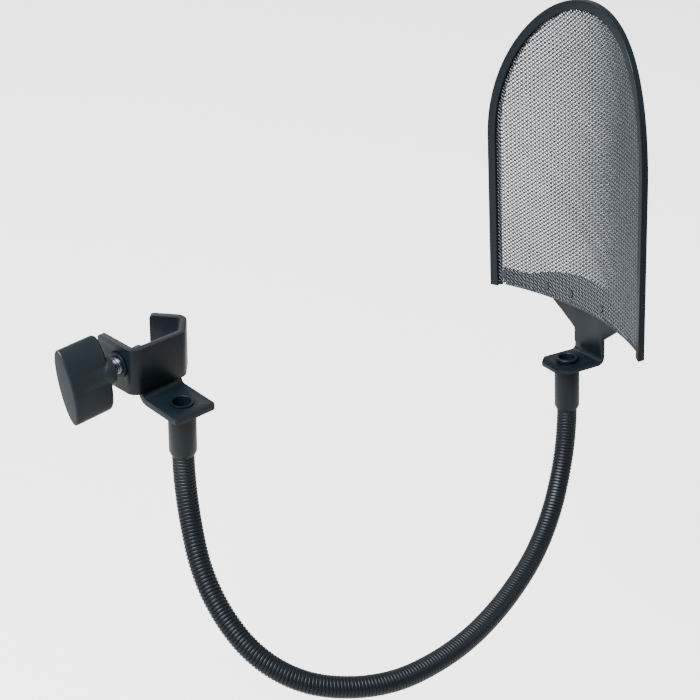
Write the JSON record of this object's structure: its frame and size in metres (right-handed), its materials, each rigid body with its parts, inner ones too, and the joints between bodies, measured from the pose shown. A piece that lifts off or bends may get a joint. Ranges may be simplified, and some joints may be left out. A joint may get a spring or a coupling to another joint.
{
  "type": "pop filter",
  "caption": "Curved steel mesh shield on a bendable gooseneck, with a V-seat screw clamp that holds it to a round stand tube.",
  "frame": {"origin": "centre of the round tube that the clamp grips, at half the height of the clamp's bar", "axes": "+Z along the gripped tube, +X from the clamping screw towards the V seat, -Y towards the tab that carries the gooseneck"},
  "size_m": [0.2649, 0.1448, 0.273],
  "materials": {
    "powder_coat": "satin powder coat",
    "woven_wire": "coated woven wire",
    "zinc_plate": "zinc plated thread",
    "moulded_plastic": "fine moulded"
  },
  "bodies": {
    "clamp": {"clamp_bracket": "powder_coat", "clamp_nut": "powder_coat", "clamp_rivet": "powder_coat", "clamp_ferrule": "powder_coat", "gooseneck_1": "powder_coat"},
    "pad": {"pressure_pad": "moulded_plastic"},
    "screw": {"clamp_screw": "zinc_plate", "clamp_knob": "moulded_plastic"},
    "neck_2": {"gooseneck_2": "powder_coat"},
    "neck_3": {"gooseneck_3": "powder_coat"},
    "neck_4": {"gooseneck_4": "powder_coat"},
    "neck_5": {"gooseneck_5": "powder_coat"},
    "neck_6": {"gooseneck_6": "powder_coat"},
    "neck_7": {"gooseneck_7": "powder_coat"},
    "shield": {"gooseneck_8": "powder_coat", "shield_ferrule": "powder_coat", "shield_washer": "powder_coat", "shield_rivet": "powder_coat", "shield_bracket": "powder_coat", "mesh_screen": "woven_wire", "mesh_hem": "woven_wire", "rim_channel": "powder_coat"}
  },
  "joints": [
    {"name": "pad_slide", "type": "slide", "parent": "clamp", "child": "pad", "axis": [0.9976, 0.0698, 0], "range_m": [-0.0047, 0.0044]},
    {"name": "screw_turn", "type": "hinge", "parent": "pad", "child": "screw", "pos_m": [-0.02993, -0.00209, 0.0015], "axis": [0.9976, 0.0698, 0], "range_deg": [-1350, 1265]},
    {"name": "neck_bend_1", "type": "hinge", "parent": "clamp", "child": "neck_2", "pos_m": [-0.01299, -0.03786, -0.08072], "axis": [-0.146, -0.7899, 0.5956], "range_deg": [-30, 27]},
    {"name": "neck_sway_2", "type": "hinge", "parent": "neck_2", "child": "neck_3", "pos_m": [-0.0143, -0.06996, -0.11181], "axis": [0.9805, 0.0397, 0.1922], "range_deg": [-30, 27]},
    {"name": "neck_bend_3", "type": "hinge", "parent": "neck_3", "child": "neck_4", "pos_m": [0.00822, -0.10254, -0.13093], "axis": [-0.1307, -0.573, 0.8091], "range_deg": [-40, 10]},
    {"name": "neck_sway_4", "type": "hinge", "parent": "neck_4", "child": "neck_5", "pos_m": [0.04976, -0.11727, -0.13812], "axis": [0.1118, 0.7829, 0.6119], "range_deg": [-30, 30]},
    {"name": "neck_bend_5", "type": "hinge", "parent": "neck_5", "child": "neck_6", "pos_m": [0.09477, -0.11578, -0.13872], "axis": [0.0751, -0.6116, 0.7876], "range_deg": [-30, 30]},
    {"name": "neck_sway_6", "type": "hinge", "parent": "neck_6", "child": "neck_7", "pos_m": [0.1383, -0.10619, -0.13214], "axis": [-0.3642, 0.7266, 0.5826], "range_deg": [-30, 30]},
    {"name": "neck_bend_7", "type": "hinge", "parent": "neck_7", "child": "shield", "pos_m": [0.17479, -0.0925, -0.11034], "axis": [-0.284, -0.7292, 0.6226], "range_deg": [-35, 18]}
  ],
  "couplings": [
    {"joint": "pad_slide", "follows": "screw_turn", "m_per_rad": 0.00019894}
  ]
}
